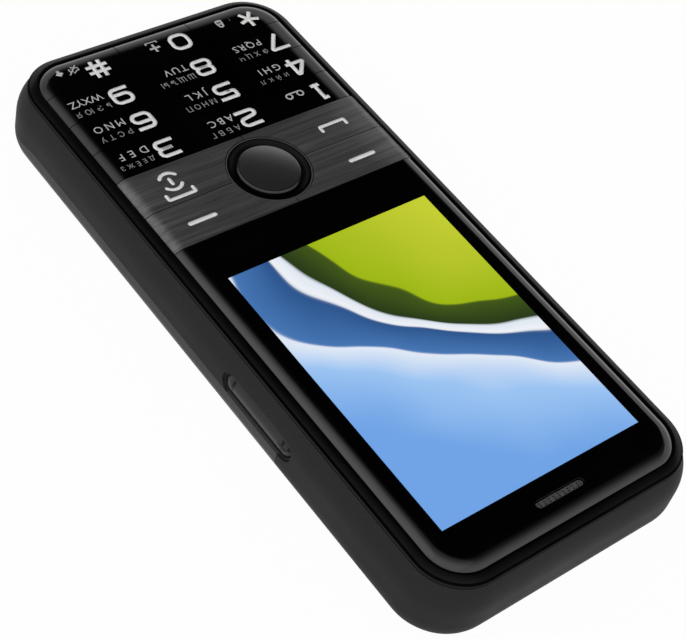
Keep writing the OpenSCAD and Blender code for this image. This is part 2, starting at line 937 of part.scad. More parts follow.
module shield_can() {
    top = lcd_z - can_gap;
    w = lcd_w - 2 * can_side;
    y = lcd_mid + can_up;
    color("#b8b8bc")
        difference() {
            block(0, y, w, can_l, board_top, top);
            block(0, y, w - 2 * can_t, can_l - 2 * can_t, board_top - over, top - can_t);
        }
}

module board_chips() {
    color("#26262a") {
        block(-chip_x, lcd_mid + chip_x, 1.5 * chip_x, 1.5 * chip_x, board_top, board_top + chip_h);
        block(chip_x, lcd_mid + 1.25 * chip_x, 1.25 * chip_x, chip_x, board_top, board_top + 0.9 * chip_h);
        block(chip_x, lcd_mid - 0.5 * chip_x, 0.875 * chip_x, 0.875 * chip_x, board_top,
            board_top + 0.8 * chip_h);
    }
}

// Centres of the plungers below the number keys and the function keys
module at_plungers() {
    for (column = [-1 : 1], row = [0 : key_rows - 1])
        translate([column * side_col, keys_bottom + (row + 0.5) * row_pitch, 0])
            children();
    for (s = [-1, 1], t = [-1, 1])
        translate([s * function_x, plate_mid + t * plate_l / 4, 0])
            children();
    translate([0, plate_mid, 0])
        children();
}

// Centres of the four nubs of the navigation key
module at_nubs() {
    for (a = [0 : 90 : 270])
        translate([0, plate_mid, 0])
            rotate([0, 0, a])
                translate([nub_x, 0, 0])
                    children();
}

module dome_sheet() {
    color("#c9ccd0") {
        translate([0, mat_mid, 0])
            round_block(mat_w - 2 * (mat_foot + film_gap), mat_l - 2 * (mat_foot + film_gap),
                mat_r - mat_foot - film_gap, board_top, board_top + film_t);
        at_plungers()
            translate([0, 0, board_top])
                cylinder(r1 = dome_r, r2 = dome_r - dome_slope, h = film_t + dome_h);
        at_nubs()
            translate([0, 0, board_top])
                cylinder(r1 = nub_dome_r, r2 = nub_dome_r - nub_dome_slope, h = film_t + dome_h);
    }
}

module keypad_mat() {
    color("#4a4a4c")
        difference() {
            translate([0, mat_mid, 0])
                round_block(mat_w, mat_l, mat_r, board_top, web_z);
            translate([0, mat_mid, 0])
                round_block(mat_w - 2 * mat_foot, mat_l - 2 * mat_foot, mat_r - mat_foot,
                    board_top - over, mat_z);
            at_plungers()
                rod(0, 0, plunger_r + hole_gap, mat_z - over, web_z + over);
            at_nubs()
                rod(0, 0, nub_r + hole_gap, mat_z - over, web_z + over);
        }
}

module key_1() { number_key(0, 3); }
module key_2() { number_key(1, 3); }
module key_3() { number_key(2, 3); }
module key_4() { number_key(0, 2); }
module key_5() { number_key(1, 2); }
module key_6() { number_key(2, 2); }
module key_7() { number_key(0, 1); }
module key_8() { number_key(1, 1); }
module key_9() { number_key(2, 1); }
module key_star() { number_key(0, 0); }
module key_0() { number_key(1, 0); }
module key_hash() { number_key(2, 0); }

module soft_key_left() { function_key(-1, plate_mid, plate_top); }
module soft_key_right() { function_key(1, plate_mid, plate_top); }
module call_key() { function_key(-1, plate_bottom, plate_mid); }
module end_key() { function_key(1, plate_bottom, plate_mid); }

// Ring with a hollow slope that falls towards the navigation key
module nav_surround() {
    inner = nav_r + nav_gap;
    slope = nav_ring_r - inner - nav_lip;
    dish_r = (slope * slope + nav_dish * nav_dish) / (2 * nav_dish);
    color("#161618")
        translate([0, plate_mid, 0])
            rotate_extrude()
                difference() {
                    translate([inner, ledge_z])
                        square([nav_ring_r - inner, front_z - ledge_z - nav_sink]);
                    translate([inner, front_z - nav_sink - nav_dish + dish_r])
                        circle(dish_r);
                }
}

// Round key with a shallow hollow in its top and a chamfered rim
module nav_pad() {
    hollow = 0.2;
    hollow_r = nav_r - 0.5;
    bowl_r = (hollow_r * hollow_r + hollow * hollow) / (2 * hollow);
    chamfer = 0.25;
    color("#2b2b2e")
        translate([0, plate_mid, 0])
            rotate_extrude()
                difference() {
                    polygon([
                        [0, nav_boss_z],
                        [nav_boss_r, nav_boss_z],
                        [nav_boss_r, nav_disc_z],
                        [nav_r, nav_disc_z],
                        [nav_r, front_z - chamfer],
                        [nav_r - chamfer, front_z],
                        [0, front_z],
                    ]);
                    translate([0, front_z - hollow + bowl_r])
                        circle(bowl_r, $fn = 720);
                }
}

module nav_rocker() {
    color("#6a6a6c") {
        rod(0, plate_mid, rocker_r, rocker_z, rocker_top);
        at_nubs()
            rod(0, 0, nub_r, nub_z, rocker_z + join);
    }
}

module nav_plunger() {
    color("#5a5a5c") {
        rod(0, plate_mid, nav_post_r, plunger_z, rocker_z - nav_post_gap);
        rod(0, plate_mid, nav_post_r + nav_post_flange, stem_z, rocker_z - nav_post_gap);
    }
}

// Half section of the volume key: x counts from its middle line, y outwards from its flange
module volume_section() {
    half = volume_h / 2;
    top = volume_face - flange_x - flange_t + join;
    crown_r = (half * half + volume_crown * volume_crown) / (2 * volume_crown);
    intersection() {
        square([half, top]);
        translate([0, top - crown_r])
            circle(crown_r);
    }
}

// Crowned bar with round ends, lying along x
module volume_bar() {
    straight = volume_l - volume_h;
    for (s = [-1, 1])
        translate([s * straight / 2, 0, 0])
            rotate([0, 0, -90 * s])
                rotate_extrude(angle = 180)
                    volume_section();
    rotate([90, 0, 90])
        linear_extrude(straight, center = true)
            for (s = [0, 1])
                mirror([s, 0])
                    volume_section();
}

// Rocker in the side wall, with a flange behind it and two posts to the switches
module volume_key() {
    color("#2e2d2e") {
        translate([flange_x + flange_t - join, volume_y, volume_z])
            rotate([90, 0, 90])
                volume_bar();
        block(flange_x + flange_t / 2, volume_y, flange_t, volume_l + 2 * flange_out,
            floor_top + stop_gap, volume_z + volume_h / 2);
        for (s = [-1, 1])
            translate([flange_x - post_l, volume_y + s * volume_post, volume_z])
                rotate([0, 90, 0])
                    cylinder(r = volume_post_r, h = post_l + join);
    }
}

module side_key_board() {
    color("#a8792e") {
        block(side_board_x + side_board_t / 2, volume_y, side_board_t, side_board_l, floor_top,
            side_board_top);
        for (s = [-1, 1])
            block(switch_x + switch_t / 2, volume_y + s * volume_post, switch_t, switch_l,
                floor_top + volume_gap, side_board_top - volume_gap);
    }
}

module battery() {
    color("#9a9ca0")
        translate([0, battery_mid, battery_z])
            linear_extrude(battery_t)
                round_rect(battery_w, battery_l, battery_r);
}

module battery_contacts() {
    y = cover_top - contact_l / 2 - rest_gap;
    color("#c9a24a") {
        block(0, y, contact_w, contact_l, floor_z - contact_h, board_z);
        for (x = [-contact_x, 0, contact_x])
            block(x, y - contact_l / 2, blade_w, blade_t, floor_z - (contact_h + blade_h) / 2,
                floor_z - (contact_h - blade_h) / 2);
    }
}

// Card socket with its slot, hung below the board
module card_socket(x, y, w, l) {
    color("#c4c6c8")
        difference() {
            block(x, y, w, l, board_z - card_h, board_z);
            block(x, y - card_skin, w - 2 * card_skin, l, board_z - card_h + card_floor, board_z - card_roof);
        }
}

module sim_socket_1() { card_socket(-sim_x, sim_y, sim_w, sim_l); }
module sim_socket_2() { card_socket(sim_x, sim_y, sim_w, sim_l); }
module memory_socket() { card_socket(0, memory_y, memory_w, memory_l); }

module camera_module() {
    color("#303034") {
        block(0, camera_y, camera_w, camera_w, camera_h, board_z);
        rod(0, camera_y, camera_d / 2 - lens_lip, wall + glass_sink, camera_h + join);
    }
}

module camera_window() {
    color("#0a0a10")
        rod(0, camera_y, camera_d / 2, glass_sink, wall - camera_skin);
}

module flash_lens() {
    color("#e8e8e0") {
        rod(flash_x, camera_y, flash_d / 2, glass_sink, wall);
        rod(flash_x, camera_y, flash_d / 2 + flash_flange, wall, wall + flash_flange_t);
    }
}

module loudspeaker() {
    color("#77777a")
        translate([0, speaker_y, wall + gauze_t])
            linear_extrude(speaker_t)
                round_rect(speaker_w, speaker_l, speaker_r);
}

module speaker_mesh() {
    color("#4c4c4e")
        block(0, speaker_y, slot_l + 2 * gauze_side, slot_count * slot_pitch - 2 * gauze_end, wall,
            wall + gauze_t);
}

module vibration_motor() {
    color("#b0b2b6")
        translate([motor_x, motor_y, motor_z])
            rotate([0, 90, 0])
                cylinder(r = motor_r, h = motor_l);
}

module motor_weight() {
    color("#8c8e92")
        translate([motor_x + motor_l + weight_gap, motor_y, motor_z])
            rotate([0, 90, 0]) {
                cylinder(r = shaft_r, h = weight_l);
                difference() {
                    cylinder(r = motor_r - weight_drop, h = weight_l);
                    translate([-motor_r - shaft_r, -motor_r, -over])
                        cube([motor_r, 2 * motor_r, weight_l + 2 * over]);
                }
            }
}

module usb_socket() {
    color("#c0c2c4")
        translate([0, port_y, board_z - usb_h])
            difference() {
                translate([-usb_w / 2, 0, 0])
                    cube([usb_w, usb_l, usb_h]);
                translate([-usb_w / 2 + usb_skin, -over, usb_skin])
                    cube([usb_w - 2 * usb_skin, usb_l + over - usb_end, usb_h - 2 * usb_skin]);
            }
}

module headphone_socket() {
    l = jack_depth + jack_end;
    color("#1b1b1d")
        difference() {
            union() {
                block(jack_x, (port_back + port_y + l) / 2, jack_w, port_y + l - port_back,
                    board_z - jack_h, board_z);
                translate([jack_x, port_y, jack_z])
                    rotate([-90, 0, 0])
                        cylinder(r = nose_r, h = port_back - port_y + over);
            }
            translate([jack_x, port_y - over, jack_z])
                rotate([-90, 0, 0])
                    cylinder(r = jack_d / 2, h = jack_depth + over);
        }
}

module microphone() {
    color("#a0a2a6")
        block(mic_x, -body_l / 2 + wall + mic_in, mic_w, mic_l, board_z - mic_h, board_z);
}

module antenna() {
    color("#2f2f31")
        block(0, body_l / 2 - core_r - antenna_in, antenna_w, antenna_l, wall, board_z - antenna_gap);
}

module housing_screws() {
    tip = boss_z - tip_gap;
    color("#9c9ea2")
        at_screws() {
            rod(0, 0, head_r, floor_z - head_h, floor_z);
            rod(0, 0, screw_r, floor_z - join, tip);
        }
}

rear_housing();
front_bezel();
battery_cover();
display_window();
window_tape();
earpiece_mesh();
earpiece_boot();
earpiece_receiver();
lcd_panel();
lcd_holder();
lcd_flex();
main_board();
shield_can();
board_chips();
dome_sheet();
keypad_mat();
key_1();
key_2();
key_3();
key_4();
key_5();
key_6();
key_7();
key_8();
key_9();
key_star();
key_0();
key_hash();
soft_key_left();
soft_key_right();
call_key();
end_key();
nav_surround();
nav_pad();
nav_rocker();
nav_plunger();
volume_key();
side_key_board();
battery();
battery_contacts();
sim_socket_1();
sim_socket_2();
memory_socket();
camera_module();
camera_window();
flash_lens();
loudspeaker();
speaker_mesh();
vibration_motor();
motor_weight();
usb_socket();
headphone_socket();
microphone();
antenna();
housing_screws();
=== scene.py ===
import json
import math

import bpy
from mathutils import Matrix, Vector


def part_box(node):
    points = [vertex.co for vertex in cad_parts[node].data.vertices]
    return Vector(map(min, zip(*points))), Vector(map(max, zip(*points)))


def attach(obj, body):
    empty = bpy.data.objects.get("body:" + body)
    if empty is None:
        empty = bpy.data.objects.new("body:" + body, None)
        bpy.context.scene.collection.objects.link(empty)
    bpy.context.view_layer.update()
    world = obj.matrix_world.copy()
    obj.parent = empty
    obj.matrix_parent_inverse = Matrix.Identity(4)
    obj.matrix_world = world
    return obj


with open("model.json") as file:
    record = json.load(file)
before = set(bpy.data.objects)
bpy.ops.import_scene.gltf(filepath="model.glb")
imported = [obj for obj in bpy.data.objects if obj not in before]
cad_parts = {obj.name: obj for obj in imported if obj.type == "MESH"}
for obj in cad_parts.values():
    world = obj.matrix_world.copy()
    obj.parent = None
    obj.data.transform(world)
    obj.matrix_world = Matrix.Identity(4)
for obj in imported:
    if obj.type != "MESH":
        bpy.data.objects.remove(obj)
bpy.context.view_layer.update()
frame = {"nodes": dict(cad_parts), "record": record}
nodes = frame["nodes"]
mm = 0.001
scene = bpy.context.scene
scene.view_settings.view_transform = "Standard"
print("frame loaded:", len(nodes), "nodes")


def srgb(red, green, blue):
    # 0 to 255 as seen on a screen, to Blender's linear colour
    def one(value):
        share = value / 255
        return share / 12.92 if share <= 0.04045 else ((share + 0.055) / 1.055) ** 2.4
    return (one(red), one(green), one(blue), 1.0)


def deselectAll():
    if bpy.context.object and bpy.context.object.mode != "OBJECT":
        bpy.ops.object.mode_set(mode="OBJECT")
    bpy.ops.object.select_all(action="DESELECT")


# Camera: the phone seen from above its earpiece end and its right side
cameraSet = {
    "location": (0.16197, 0.13887, 0.23573),
    "target": (0.00363, 0.00734, 0.0085),
    "roll": 17.207,      # degrees, anticlockwise turn of the camera
    "lens": 93.20,
    "sensor": 36.0,
    "clipStart": 0.01,
}

deselectAll()
bpy.ops.object.camera_add(location=cameraSet["location"])
camera = bpy.context.object
camera.name = "photoCamera"
lookAlong = Vector(cameraSet["target"]) - Vector(cameraSet["location"])
level = lookAlong.to_track_quat("-Z", "Y").to_matrix()
camera.rotation_euler = (level @ Matrix.Rotation(math.radians(cameraSet["roll"]), 3, "Z")).to_euler()
camera.data.lens = cameraSet["lens"]
camera.data.sensor_width = cameraSet["sensor"]
camera.data.clip_start = cameraSet["clipStart"]
scene.camera = camera
print("camera set")


# Stage: pale floor under a soft dome with one dark patch, and a soft box
stageSet = {
    "floorSize": 8.0,
    "floorColour": srgb(248, 248, 248),
    "floorWhite": 0.97,         # share of plain white that the camera sees on the floor
    "patchHeading": 222.0,      # degrees from +X to the dark patch of the dome, seen from above
    "patchHeight": 46.0,        # degrees above the floor
    "patchReach": (0.985, 0.08),  # cosines from its middle where the dome begins and ends to brighten
    "domeLevel": 1.05,
    "glowHeading": 322.0,       # a feathered brighter zone of the dome
    "glowHeight": 40.0,
    "glowReach": (0.86, 1.0),
    "glowLevel": 0.45,
    "horizonLevel": 0.80,
    "horizonReach": (0.60, 0.50),  # from dark to bright, measured upwards
    "darkLevel": 0.004,
    "domeTint": srgb(255, 254, 253),
    "boxSize": (2.2, 2.2),
    "boxPlace": (0.55, 0.35, 1.60),
    "boxPower": 2.6,
}


def addNode(tree, kind, **values):
    made = tree.nodes.new(kind)
    for name, value in values.items():
        setattr(made, name, value)
    return made


def link(tree, fromSocket, toSocket):
    tree.links.new(fromSocket, toSocket)


def feed(tree, source, socket):
    # a socket takes another node's output or a plain value
    if hasattr(source, "is_linked"):
        link(tree, source, socket)
    else:
        socket.default_value = source


def reckon(tree, operation, *sources):
    made = addNode(tree, "ShaderNodeMath", operation=operation)
    for source, socket in zip(sources, made.inputs):
        feed(tree, source, socket)
    return made.outputs[0]


def reckonVector(tree, operation, *sources):
    made = addNode(tree, "ShaderNodeVectorMath", operation=operation)
    for source, socket in zip(sources, made.inputs):
        feed(tree, source, socket)
    givesNumber = operation in ("DISTANCE", "DOT_PRODUCT", "LENGTH")
    return made.outputs["Value" if givesNumber else "Vector"]


def placeOf(tree, title="Object"):
    return addNode(tree, "ShaderNodeTexCoord").outputs[title]


def splitAxes(tree, source):
    made = addNode(tree, "ShaderNodeSeparateXYZ")
    link(tree, source, made.inputs[0])
    return made.outputs


def spread(tree, source, low, high, fromLow=0.3, fromHigh=0.7, kind="LINEAR"):
    # without limits of its own, it draws out the middle part of a noise
    made = addNode(tree, "ShaderNodeMapRange", interpolation_type=kind)
    for title, value in (("From Min", fromLow), ("From Max", fromHigh), ("To Min", low), ("To Max", high)):
        made.inputs[title].default_value = value
    link(tree, source, made.inputs["Value"])
    return made.outputs[0]


def makeFloor():
    deselectAll()
    bpy.ops.mesh.primitive_plane_add(size=stageSet["floorSize"])
    floor = bpy.context.object
    floor.name = "floor"
    material = bpy.data.materials.new("paleFloor")
    material.use_nodes = True
    tree = material.node_tree
    tree.nodes.clear()
    output = addNode(tree, "ShaderNodeOutputMaterial")
    mix = addNode(tree, "ShaderNodeMixShader")
    matte = addNode(tree, "ShaderNodeBsdfDiffuse")
    matte.inputs["Color"].default_value = stageSet["floorColour"]
    white = addNode(tree, "ShaderNodeEmission")
    rays = addNode(tree, "ShaderNodeLightPath").outputs
    seen = reckon(tree, "MAXIMUM", rays["Is Camera Ray"], rays["Is Glossy Ray"])
    seen = reckon(tree, "MAXIMUM", seen, rays["Is Transmission Ray"])
    link(tree, reckon(tree, "MULTIPLY", seen, stageSet["floorWhite"]), mix.inputs[0])
    link(tree, matte.outputs[0], mix.inputs[1])
    link(tree, white.outputs[0], mix.inputs[2])
    link(tree, mix.outputs[0], output.inputs["Surface"])
    floor.data.materials.append(material)


def makeDome():
    world = bpy.data.worlds.new("studio")
    scene.world = world
    world.use_nodes = True
    tree = world.node_tree
    tree.nodes.clear()
    output = addNode(tree, "ShaderNodeOutputWorld")
    background = addNode(tree, "ShaderNodeBackground")
    background.inputs["Color"].default_value = stageSet["domeTint"]
    place = placeOf(tree, "Generated")

    def towards(name):
        # cosine between the looked-at point of the dome and a named direction
        heading = math.radians(stageSet[name + "Heading"])
        height = math.radians(stageSet[name + "Height"])
        flat = math.cos(height)
        direction = (math.cos(heading) * flat, math.sin(heading) * flat, math.sin(height))
        return reckonVector(tree, "DOT_PRODUCT", place, direction)

    def fade(source, reach, low, high):
        return spread(tree, source, low, high, *reach, kind="SMOOTHSTEP")

    dark = stageSet["darkLevel"]
    dome = fade(towards("patch"), stageSet["patchReach"], dark, stageSet["domeLevel"])
    upward = splitAxes(tree, place)["Z"]
    horizon = fade(upward, stageSet["horizonReach"], dark, stageSet["horizonLevel"])
    glow = fade(towards("glow"), stageSet["glowReach"], 0, stageSet["glowLevel"])
    level = reckon(tree, "ADD", reckon(tree, "MAXIMUM", dome, horizon), glow)
    link(tree, level, background.inputs["Strength"])
    link(tree, background.outputs[0], output.inputs["Surface"])


def makeSoftBox():
    deselectAll()
    bpy.ops.object.light_add(type="AREA", location=stageSet["boxPlace"])
    lamp = bpy.context.object
    lamp.name = "softBox"
    lamp.rotation_euler = (-Vector(stageSet["boxPlace"])).to_track_quat("-Z", "Y").to_euler()
    lamp.data.shape = "RECTANGLE"
    lamp.data.size, lamp.data.size_y = stageSet["boxSize"]
    lamp.data.energy = stageSet["boxPower"]


makeFloor()
makeDome()
makeSoftBox()
print("stage set")


# Effects that several finishes share

def startGroup(name, inputs, outputs):
    tree = bpy.data.node_groups.new(name, "ShaderNodeTree")
    for title, value in inputs.items():
        socket = tree.interface.new_socket(title, in_out="INPUT", socket_type="NodeSocketFloat")
        socket.default_value = value
    for title in outputs:
        tree.interface.new_socket(title, in_out="OUTPUT", socket_type="NodeSocketFloat")
    return tree, addNode(tree, "NodeGroupInput"), addNode(tree, "NodeGroupOutput")


def addNoise(tree, place, scale, **values):
    made = addNode(tree, "ShaderNodeTexNoise")
    link(tree, place, made.inputs["Vector"])
    feed(tree, scale, made.inputs["Scale"])
    for title, value in values.items():
        made.inputs[title].default_value = value
    return made.outputs["Fac"]


def fineGrainGroup():
    # the fine texture of a moulded shell, with soft worn patches
    tree, given, result = startGroup(
        "fineGrain", {"Grain per metre": 6000.0, "Patches per metre": 60.0}, ("Grain", "Patches"))
    place = placeOf(tree)
    grain = addNoise(tree, place, given.outputs["Grain per metre"], Detail=3.0, Roughness=0.6)
    patches = addNoise(tree, place, given.outputs["Patches per metre"], Detail=4.0)
    link(tree, grain, result.inputs["Grain"])
    link(tree, patches, result.inputs["Patches"])
    return tree


def brushedGroup():
    # streaks and broader bands that run along X, as a brushed sheet has them
    tree, given, result = startGroup(
        "brushed", {"Streaks per metre": 2600.0, "Bands per metre": 900.0}, ("Streaks", "Bands"))
    place = placeOf(tree)
    drawnOut = {"Streaks": (0.030, 1.0, 0.4), "Bands": (0.022, 1.0, 0.4)}
    detail = {"Streaks": {"Detail": 5.0, "Roughness": 0.65}, "Bands": {"Detail": 2.0}}
    for title, factors in drawnOut.items():
        along = reckonVector(tree, "MULTIPLY", place, factors)
        noise = addNoise(tree, along, given.outputs[title + " per metre"], **detail[title])
        link(tree, noise, result.inputs[title])
    return tree


def handledGroup():
    # faint smears that a touched gloss surface carries
    tree, given, result = startGroup("handled", {"Smears per metre": 45.0}, ("Smears",))
    smears = addNoise(tree, placeOf(tree), given.outputs["Smears per metre"], Detail=5.0, Distortion=0.8)
    link(tree, smears, result.inputs["Smears"])
    return tree


def rolledGroup():
    # past an outline with round corners the front falls away, or leans back first by its lift, in metres
    sizes = {"Half width": 22.5 * mm, "Half length": 58.0 * mm, "Corner": 3.1 * mm, "Fall": 30.0, "Lift": 0.0}
    tree, given, result = startGroup("rolled", sizes, ("Height",))
    axes = splitAxes(tree, placeOf(tree))
    corner = given.outputs["Corner"]
    aside = addNode(tree, "ShaderNodeCombineXYZ")
    for axis, title in (("X", "Half width"), ("Y", "Half length")):
        straight = reckon(tree, "SUBTRACT", given.outputs[title], corner)
        beyond = reckon(tree, "SUBTRACT", reckon(tree, "ABSOLUTE", axes[axis]), straight)
        link(tree, reckon(tree, "MAXIMUM", beyond, 0.0), aside.inputs[axis])
    reach = reckonVector(tree, "LENGTH", aside.outputs[0])
    past = reckon(tree, "MAXIMUM", reckon(tree, "SUBTRACT", reach, corner), 0.0)
    fall = reckon(tree, "MULTIPLY", reckon(tree, "MULTIPLY", past, past), given.outputs["Fall"])
    lift = reckon(tree, "MULTIPLY", past, given.outputs["Lift"])
    link(tree, reckon(tree, "SUBTRACT", lift, fall), result.inputs["Height"])
    return tree


fineGrain = fineGrainGroup()
rolled = rolledGroup()
brushed = brushedGroup()
handled = handledGroup()


def useGroup(tree, group, **values):
    made = addNode(tree, "ShaderNodeGroup", node_tree=group)
    for title, value in values.items():
        made.inputs[title.replace("_", " ")].default_value = value
    return made.outputs


def startFinish(name, **sockets):
    material = bpy.data.materials.new(name)
    material.use_nodes = True
    tree = material.node_tree
    shader = tree.nodes["Principled BSDF"]
    for title, value in sockets.items():
        shader.inputs[title.replace("_", " ")].default_value = value
    return material, tree, shader


def mixColours(tree, factor, low, high):
    made = addNode(tree, "ShaderNodeMix", data_type="RGBA")
    link(tree, factor, made.inputs[0])
    feed(tree, low, made.inputs[6])
    feed(tree, high, made.inputs[7])
    return made.outputs[2]


def addRelief(tree, shader, height, depth, strength=1.0):
    # a second relief builds on the first
    bump = addNode(tree, "ShaderNodeBump")
    bump.inputs["Strength"].default_value = strength
    bump.inputs["Distance"].default_value = depth
    link(tree, height, bump.inputs["Height"])
    if shader.inputs["Normal"].is_linked:
        link(tree, shader.inputs["Normal"].links[0].from_socket, bump.inputs["Normal"])
    link(tree, bump.outputs[0], shader.inputs["Normal"])


def addRoll(tree, shader, **values):
    addRelief(tree, shader, useGroup(tree, rolled, **values)["Height"], 1.0)


def addTexture(tree, shader, look, tintBy, roughBy, **values):
    # one fine texture varies roughness and colour, and stands up where the look has a depth
    texture = useGroup(tree, fineGrain, Grain_per_metre=look["grain"], **values)
    link(tree, spread(tree, texture[roughBy], *look["rough"]), shader.inputs["Roughness"])
    if "depth" in look:
        addRelief(tree, shader, texture["Grain"], look["depth"])
    return mixColours(tree, spread(tree, texture[tintBy], 0, 1), look["low"], look["high"])


# Moulded plastics and rubber: the shell, its cover and the inner pieces
mouldedSet = {
    "matteShell": {"low": srgb(39, 38, 38), "high": srgb(48, 47, 47), "rough": (0.50, 0.62),
                   "grain": 5200.0, "depth": 0.000012, "shine": 0.07},
    "matteCover": {"low": srgb(76, 74, 75), "high": srgb(90, 88, 89), "rough": (0.50, 0.62),
                   "grain": 5200.0, "depth": 0.000012, "shine": 0.12},
    "innerPlastic": {"low": srgb(36, 36, 38), "high": srgb(52, 52, 55), "rough": (0.45, 0.6),
                     "grain": 3000.0, "depth": 0.000014, "shine": 0.4},
    "rubber": {"low": srgb(44, 44, 45), "high": srgb(62, 62, 63), "rough": (0.68, 0.82),
               "grain": 2600.0, "depth": 0.000016, "shine": 0.22},
}


# the shell's foot takes the cover's colour as far along as the cover reaches; towards the
# keypad end it comes down to the cover's own edge
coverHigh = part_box("battery_cover")[1]
footSet = {"height": (coverHigh.z, 6.9 * mm), "taper": (-62.0 * mm, -52.0 * mm), "length": coverHigh.y,
           "width": 27.0 * mm}


def addFoot(tree, tint):
    axes = splitAxes(tree, placeOf(tree))
    edge = spread(tree, axes["Y"], *footSet["height"], *footSet["taper"])
    below = reckon(tree, "LESS_THAN", axes["Z"], edge)
    along = reckon(tree, "LESS_THAN", axes["Y"], footSet["length"])
    outside = reckon(tree, "GREATER_THAN", reckon(tree, "ABSOLUTE", axes["X"]), footSet["width"])
    mask = reckon(tree, "MULTIPLY", outside, reckon(tree, "MULTIPLY", along, below))
    return mixColours(tree, mask, tint, mouldedSet["matteCover"]["low"])


def makeMoulded(name):
    look = mouldedSet[name]
    material, tree, shader = startFinish(name, Specular_IOR_Level=look["shine"])
    tint = addTexture(tree, shader, look, "Grain", "Patches")
    if name == "matteShell":
        tint = addFoot(tree, tint)
    link(tree, tint, shader.inputs["Base Color"])
    return material


# Polished black pieces: rim and number keys
polishedSet = {
    "glossRim": {"base": srgb(1, 1, 2), "smear": srgb(4, 4, 5), "rough": (0.18, 0.26), "shine": 0.22,
                 "roll": {"Half_width": 26.65 * mm, "Half_length": 62.25 * mm, "Corner": 7.25 * mm,
                          "Fall": 90.0, "Lift": 0.22}},
    "keyGloss": {"base": srgb(1, 1, 2), "smear": srgb(3, 3, 4), "rough": (0.05, 0.09), "shine": 0.46,
                 "roll": {"Half_width": 21.5 * mm, "Fall": 30.0}},
}
# the rim's narrow outer edge leans back, so that it stays dark
rimEdgeSet = {"top": 15.78 * mm, "depth": 1.0 * mm, "lean": 1.0 * mm}


def addRimEdge(tree, shader):
    height = splitAxes(tree, placeOf(tree))["Z"]
    top = rimEdgeSet["top"]
    addRelief(tree, shader, spread(tree, height, 0, rimEdgeSet["lean"], top, top - rimEdgeSet["depth"]), 1.0)


def polish(tree, shader, look):
    smears = useGroup(tree, handled)["Smears"]
    link(tree, spread(tree, smears, *look["rough"]), shader.inputs["Roughness"])
    return mixColours(tree, spread(tree, smears, 0, 1), look["base"], look["smear"])


def makePolished(name):
    look = polishedSet[name]
    material, tree, shader = startFinish(name, Specular_IOR_Level=look["shine"])
    link(tree, polish(tree, shader, look), shader.inputs["Base Color"])
    addRoll(tree, shader, **look["roll"])
    if name == "glossRim":
        addRimEdge(tree, shader)
    return material


# Window: black glass with a lit picture of waved rings behind it
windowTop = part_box("display_window")[1].z
windowSet = {
    "base": srgb(1, 1, 2), "smear": srgb(3, 3, 4), "rough": (0.04, 0.08), "shine": 0.68,
    "roll": {"Half_width": 22.5 * mm, "Fall": 30.0},
    "pictureSize": (43.2 * mm, 57.6 * mm),
    "pictureMiddle": (0.0, 24.68 * mm),
    "pictureDepth": 0.3 * mm,       # the picture shows only on faces this near the top
    "ringMiddle": (-30.0 * mm, -12.0 * mm),
    "ringReach": 84.0 * mm,
    "waves": 26.0, "waveDetail": 2.0, "waveHeight": 0.30,
    # share of the reach, and the colour there
    "rings": ((0.30, srgb(196, 206, 52)), (0.57, srgb(158, 184, 22)), (0.575, srgb(66, 88, 26)),
              (0.645, srgb(40, 58, 24)), (0.65, srgb(222, 230, 240)), (0.675, srgb(240, 243, 248)),
              (0.68, srgb(44, 84, 140)), (0.765, srgb(70, 118, 180)), (0.77, srgb(226, 234, 246)),
              (0.85, srgb(156, 196, 242)), (1.0, srgb(112, 164, 230))),
    "unlit": srgb(0, 0, 0),
}


def makeWindow():
    look = windowSet
    material, tree, shader = startFinish(
        "windowGlass", Specular_IOR_Level=look["shine"], Emission_Strength=1.0)
    link(tree, polish(tree, shader, look), shader.inputs["Base Color"])
    addRoll(tree, shader, **look["roll"])
    place = placeOf(tree)
    axes = splitAxes(tree, place)

    def inside(axis, middle, half):
        away = reckon(tree, "ABSOLUTE", reckon(tree, "SUBTRACT", axes[axis], middle))
        return reckon(tree, "LESS_THAN", away, half)

    lit = reckon(tree, "MULTIPLY", inside("X", look["pictureMiddle"][0], look["pictureSize"][0] / 2),
                 inside("Y", look["pictureMiddle"][1], look["pictureSize"][1] / 2))
    lit = reckon(tree, "MULTIPLY", lit, inside("Z", windowTop, look["pictureDepth"]))

    # distance from a corner, gently waved, gives the rings their colours
    waves = addNoise(tree, place, look["waves"], Detail=look["waveDetail"])
    reach = reckonVector(tree, "DISTANCE", place, (*look["ringMiddle"], windowTop))
    share = reckon(tree, "DIVIDE", reach, look["ringReach"])
    ramp = addNode(tree, "ShaderNodeValToRGB")
    link(tree, reckon(tree, "MULTIPLY_ADD", waves, look["waveHeight"], share), ramp.inputs[0])
    stops = ramp.color_ramp.elements
    stops[0].position, stops[0].color = look["rings"][0]
    stops[1].position, stops[1].color = look["rings"][-1]
    for position, colour in look["rings"][1:-1]:
        stops.new(position).color = colour
    picture = mixColours(tree, lit, look["unlit"], ramp.outputs[0])
    link(tree, picture, shader.inputs["Emission Color"])
    return material


# Brushed sheet of the function keys, with a painted sheen that lightens both its ends
plateSet = {"low": srgb(43, 43, 45), "high": srgb(110, 110, 112), "rough": (0.38, 0.50), "depth": 0.000006,
            "metal": 0.75, "shine": 0.5, "streakShare": (0.35, 1.0), "bandShare": (0.55, 1.0),
            # the end colours and their reach are a painted sheen on both ends of the sheet
            "endSheenLow": srgb(49, 49, 51), "endSheenHigh": srgb(126, 126, 128), "endSheenReach": (13.0 * mm, 25.0 * mm),
            "roll": {"Half_width": 18.0 * mm, "Fall": 16.0}}


